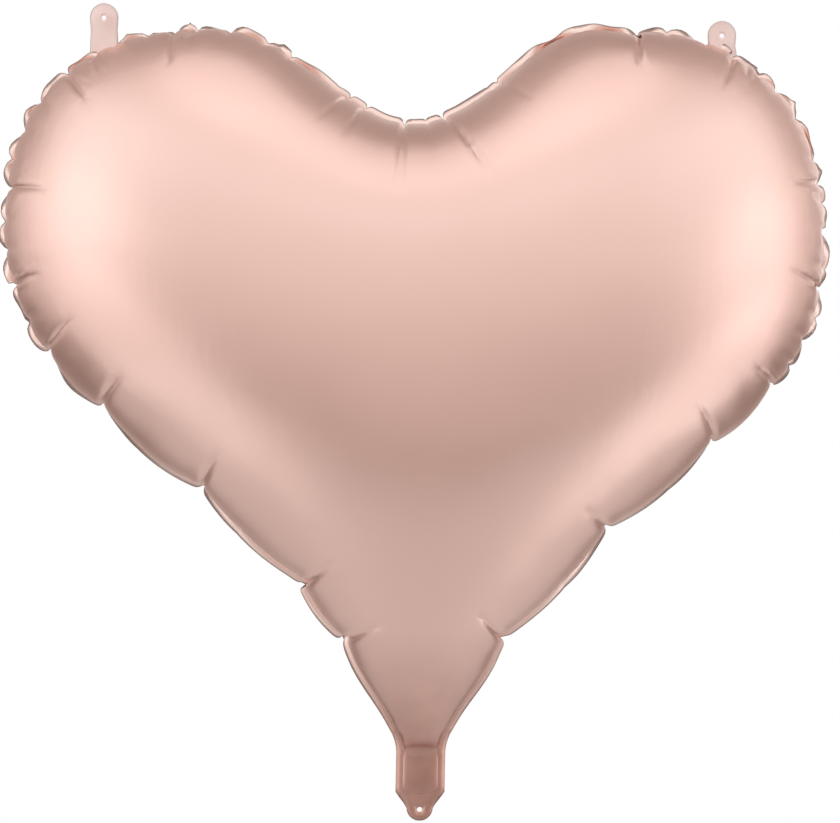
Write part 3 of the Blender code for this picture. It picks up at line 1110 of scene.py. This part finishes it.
def tab_material():
    """Two fused films without gas between them: paler and less shiny than the foil."""
    nodes = Nodes("pale_rose_tab")
    shader = nodes.shader
    shader.inputs["Metallic"].default_value = 0.3
    shader.inputs["Roughness"].default_value = 0.42
    color = nodes.ramp(nodes.noise(60), (0.3, TAB_COLOR), (0.7, TAB_WARM))
    edge = nodes.ramp(nodes.attribute("flange"), (0.0, TAB_COLOR), (1.0, TAB_EDGE))
    nodes.link(nodes.mixed(nodes.attribute("flange"), color, edge), shader.inputs["Base Color"])
    nodes.link(nodes.bump(nodes.noise(45, 2), 0.35, 1 * MM), shader.inputs["Normal"])
    return nodes.material


def valve_material():
    """Clear, slightly milky polyethylene film."""
    nodes = Nodes("clear_polyethylene")
    shader = nodes.shader
    shader.inputs["Roughness"].default_value = 0.25
    shader.inputs["Transmission Weight"].default_value = 0.8
    shader.inputs["IOR"].default_value = 1.5
    color = nodes.ramp(nodes.noise(80), (0.3, VALVE_COLOR), (0.7, VALVE_PALE))
    nodes.link(color, shader.inputs["Base Color"])
    nodes.link(nodes.bump(nodes.noise(120, 2, (1, 1, 0.3)), 0.2, 0.3 * MM), shader.inputs["Normal"])
    return nodes.material


# ---------------------------------------------------------------- stage

def area_light(name, location, size, power, target):
    light = bpy.data.lights.new(name, "AREA")
    light.shape = "DISK"
    light.size = size
    light.energy = power
    light.color = SOFTBOX_COLOR
    lamp = bpy.data.objects.new(name, light)
    lamp.location = location
    lamp.rotation_euler = (Vector(target) - Vector(location)).to_track_quat("-Z", "Y").to_euler()
    bpy.context.scene.collection.objects.link(lamp)


def tinted(level):
    """Weak light is warm and strong light is cool, as off a room's walls and off softboxes."""
    return (level, level * (1 + GREEN_TINT * (level - 1)), level * (1 + BLUE_TINT * (level - 1)))


def make_world():
    """White to the camera. In reflections it is a studio that is brightest at the sides and dim below."""
    world = bpy.data.worlds.new("studio")
    bpy.context.scene.world = world
    world.use_nodes = True
    tree = world.node_tree
    link = tree.links.new
    coordinates = tree.nodes.new("ShaderNodeTexCoord")
    split = tree.nodes.new("ShaderNodeSeparateXYZ")
    link(coordinates.outputs["Generated"], split.inputs["Vector"])
    levels = []
    for axis, stops in (("Y", DEPTH_LIGHT), ("Z", HEIGHT_LIGHT)):
        lean = tree.nodes.new("ShaderNodeMapRange")
        lean.inputs["From Min"].default_value = -1
        link(split.outputs[axis], lean.inputs["Value"])
        ramp = tree.nodes.new("ShaderNodeValToRGB")
        fill_ramp(ramp.color_ramp, [((along + 1) / 2, tinted(level)) for along, level in stops])
        ramp.color_ramp.interpolation = "EASE"
        link(lean.outputs["Result"], ramp.inputs["Fac"])
        levels.append(ramp.outputs["Color"])
    light = tree.nodes.new("ShaderNodeVectorMath")
    light.operation = "MULTIPLY"
    link(levels[0], light.inputs[0])
    link(levels[1], light.inputs[1])
    studio = tree.nodes["Background"]
    studio.inputs["Strength"].default_value = 1
    link(light.outputs["Vector"], studio.inputs["Color"])
    plain = tree.nodes.new("ShaderNodeBackground")
    plain.inputs["Color"].default_value = (1, 1, 1, 1)
    path = tree.nodes.new("ShaderNodeLightPath")
    choice = tree.nodes.new("ShaderNodeMixShader")
    link(path.outputs["Is Camera Ray"], choice.inputs["Fac"])
    link(studio.outputs["Background"], choice.inputs[1])
    link(plain.outputs["Background"], choice.inputs[2])
    link(choice.outputs["Shader"], tree.nodes["World Output"].inputs["Surface"])


def make_floor():
    bpy.ops.mesh.primitive_circle_add(
        vertices=96, radius=FLOOR_RADIUS, fill_type="NGON", location=(0, 0, FLOOR_Z)
    )
    floor = bpy.context.object
    floor.name = "floor"
    material = bpy.data.materials.new("pale_floor")
    material.use_nodes = True
    shader = material.node_tree.nodes["Principled BSDF"]
    shader.inputs["Base Color"].default_value = (*FLOOR_COLOR, 1)
    shader.inputs["Roughness"].default_value = 0.8
    floor.data.materials.append(material)


def make_stage():
    make_world()
    bpy.context.scene.view_settings.view_transform = "Standard"
    make_floor()
    for name, location, size, power in SOFTBOXES:
        area_light(name, location, size, power, MIDDLE)


def make_camera():
    data = bpy.data.cameras.new("camera")
    camera = bpy.data.objects.new("camera", data)
    bpy.context.scene.collection.objects.link(camera)
    data.lens = 100
    data.sensor_width = 36
    camera.location = CAMERA_PLACE
    camera.rotation_euler = (math.pi / 2, 0, 0)
    bpy.context.scene.camera = camera


def main():
    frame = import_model()
    make_camera()
    make_stage()
    make_foil(foil_material())
    tab_foil = tab_material()
    for side, head in TAB_HEADS.items():
        make_tab(side, head, tab_foil)
    make_valve(frame["nodes"], valve_material())


main()
